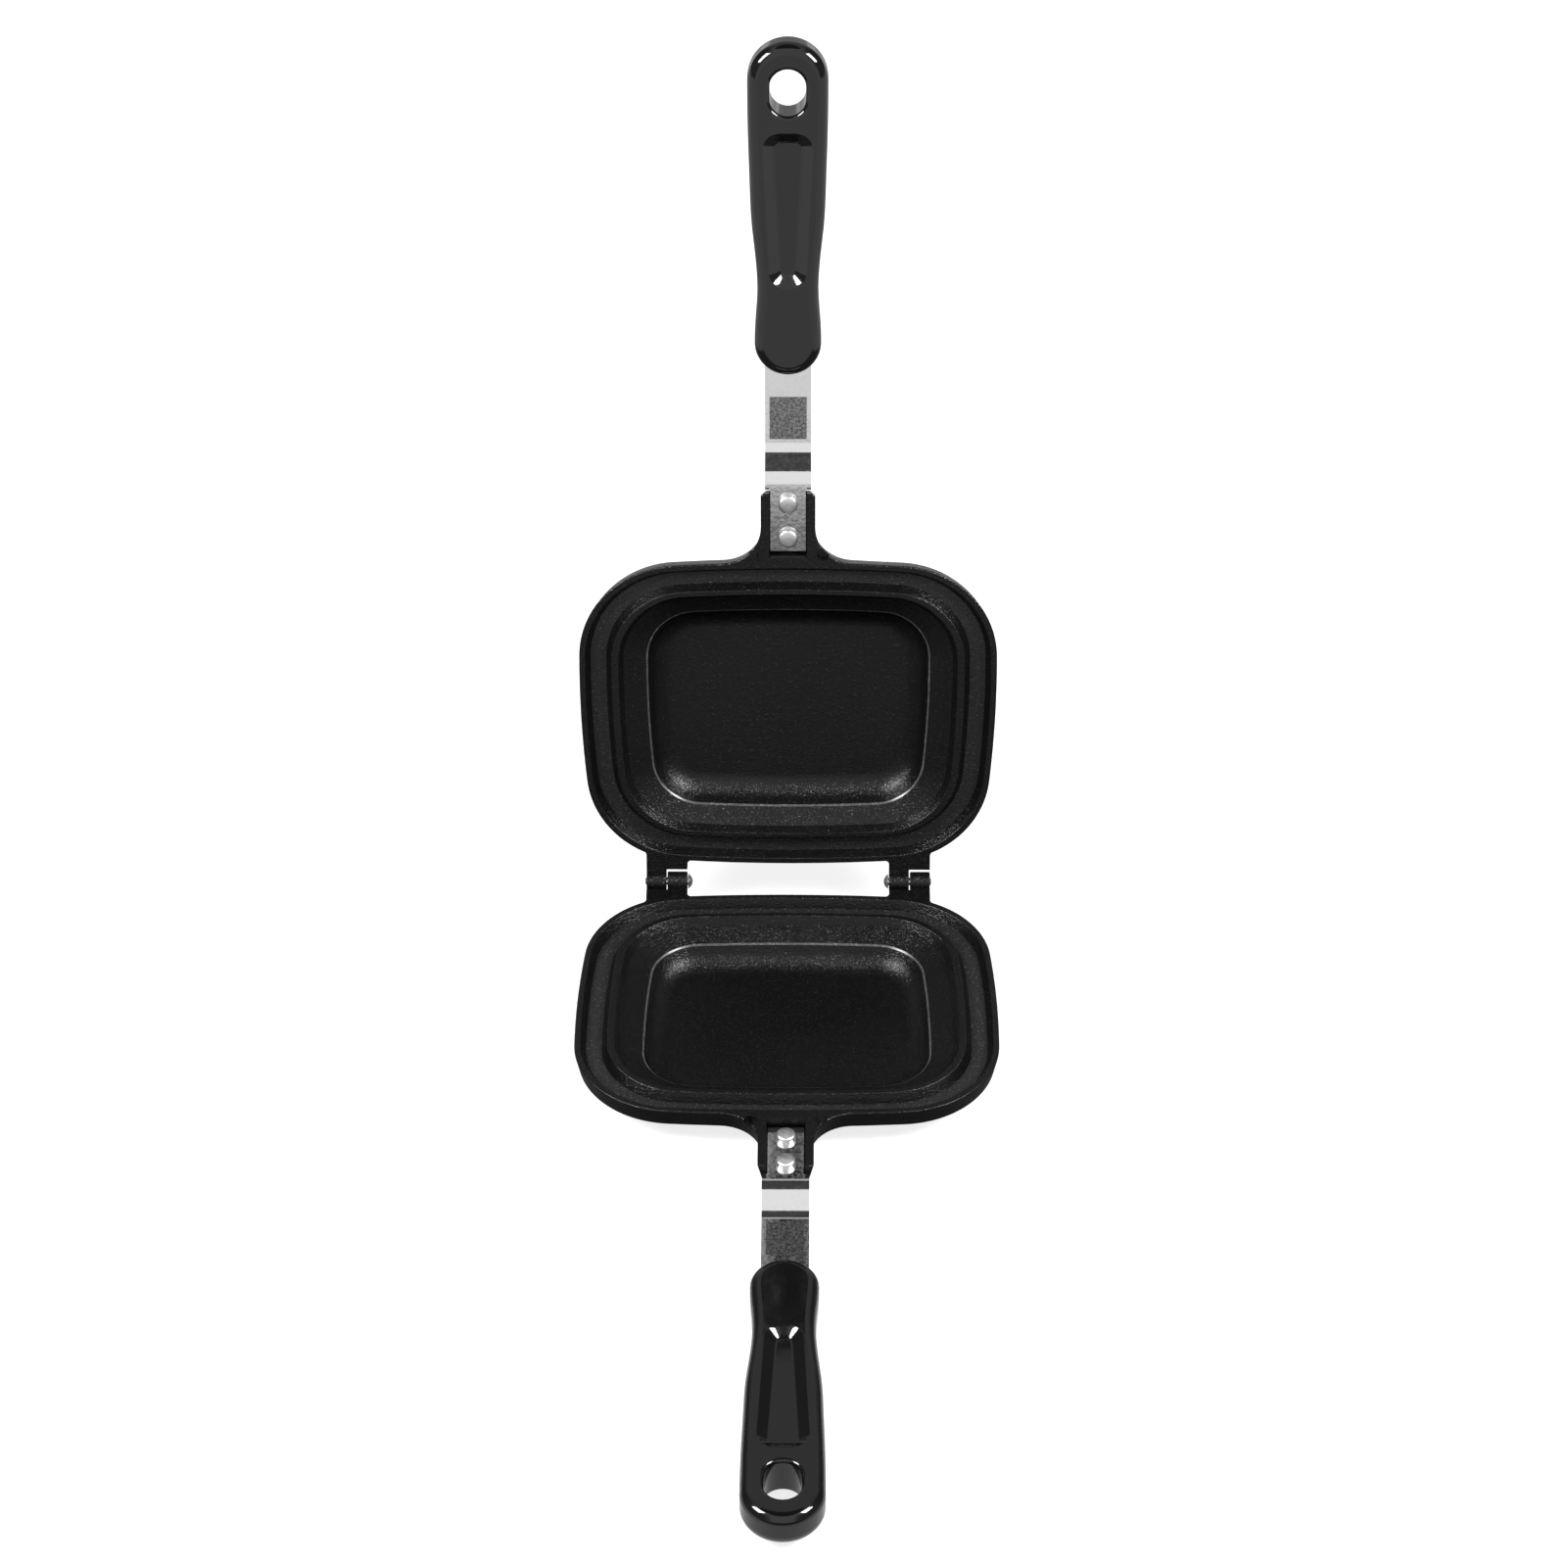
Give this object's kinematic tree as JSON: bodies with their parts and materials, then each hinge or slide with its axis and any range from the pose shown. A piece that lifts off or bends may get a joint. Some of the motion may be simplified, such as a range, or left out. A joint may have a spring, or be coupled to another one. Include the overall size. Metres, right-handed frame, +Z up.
{
  "type": "flip pan",
  "caption": "Hinged clamshell flip pan: matching cast halves with rimmed rectangular cavities, riveted steel straps and moulded handles with hanging holes.",
  "frame": {"origin": "middle of the lower half's flat outer base, on the table", "axes": "+Z up through the lower cavity's mouth, -Y along the lower handle towards its hanging hole, +X across the pan"},
  "size_m": [0.1578, 0.4248, 0.3412],
  "materials": {
    "casting": "matte",
    "strap": "satin",
    "rivet": "polished",
    "pin": "satin",
    "grip": "gloss"
  },
  "bodies": {
    "lower_half": {"lower_pan": "casting", "lower_strap": "strap", "lower_rivet_inner": "rivet", "lower_rivet_outer": "rivet", "lower_handle": "grip", "right_hinge_pin": "pin", "left_hinge_pin": "pin"},
    "upper_half": {"upper_pan": "casting", "upper_strap": "strap", "upper_rivet_inner": "rivet", "upper_rivet_outer": "rivet", "upper_handle": "grip"}
  },
  "joints": [
    {"name": "pan_hinge", "type": "hinge", "parent": "lower_half", "child": "upper_half", "pos_m": [0, 0.07, 0.01765], "axis": [1, 0, 0], "range_deg": [-76.6, 103.4]}
  ]
}
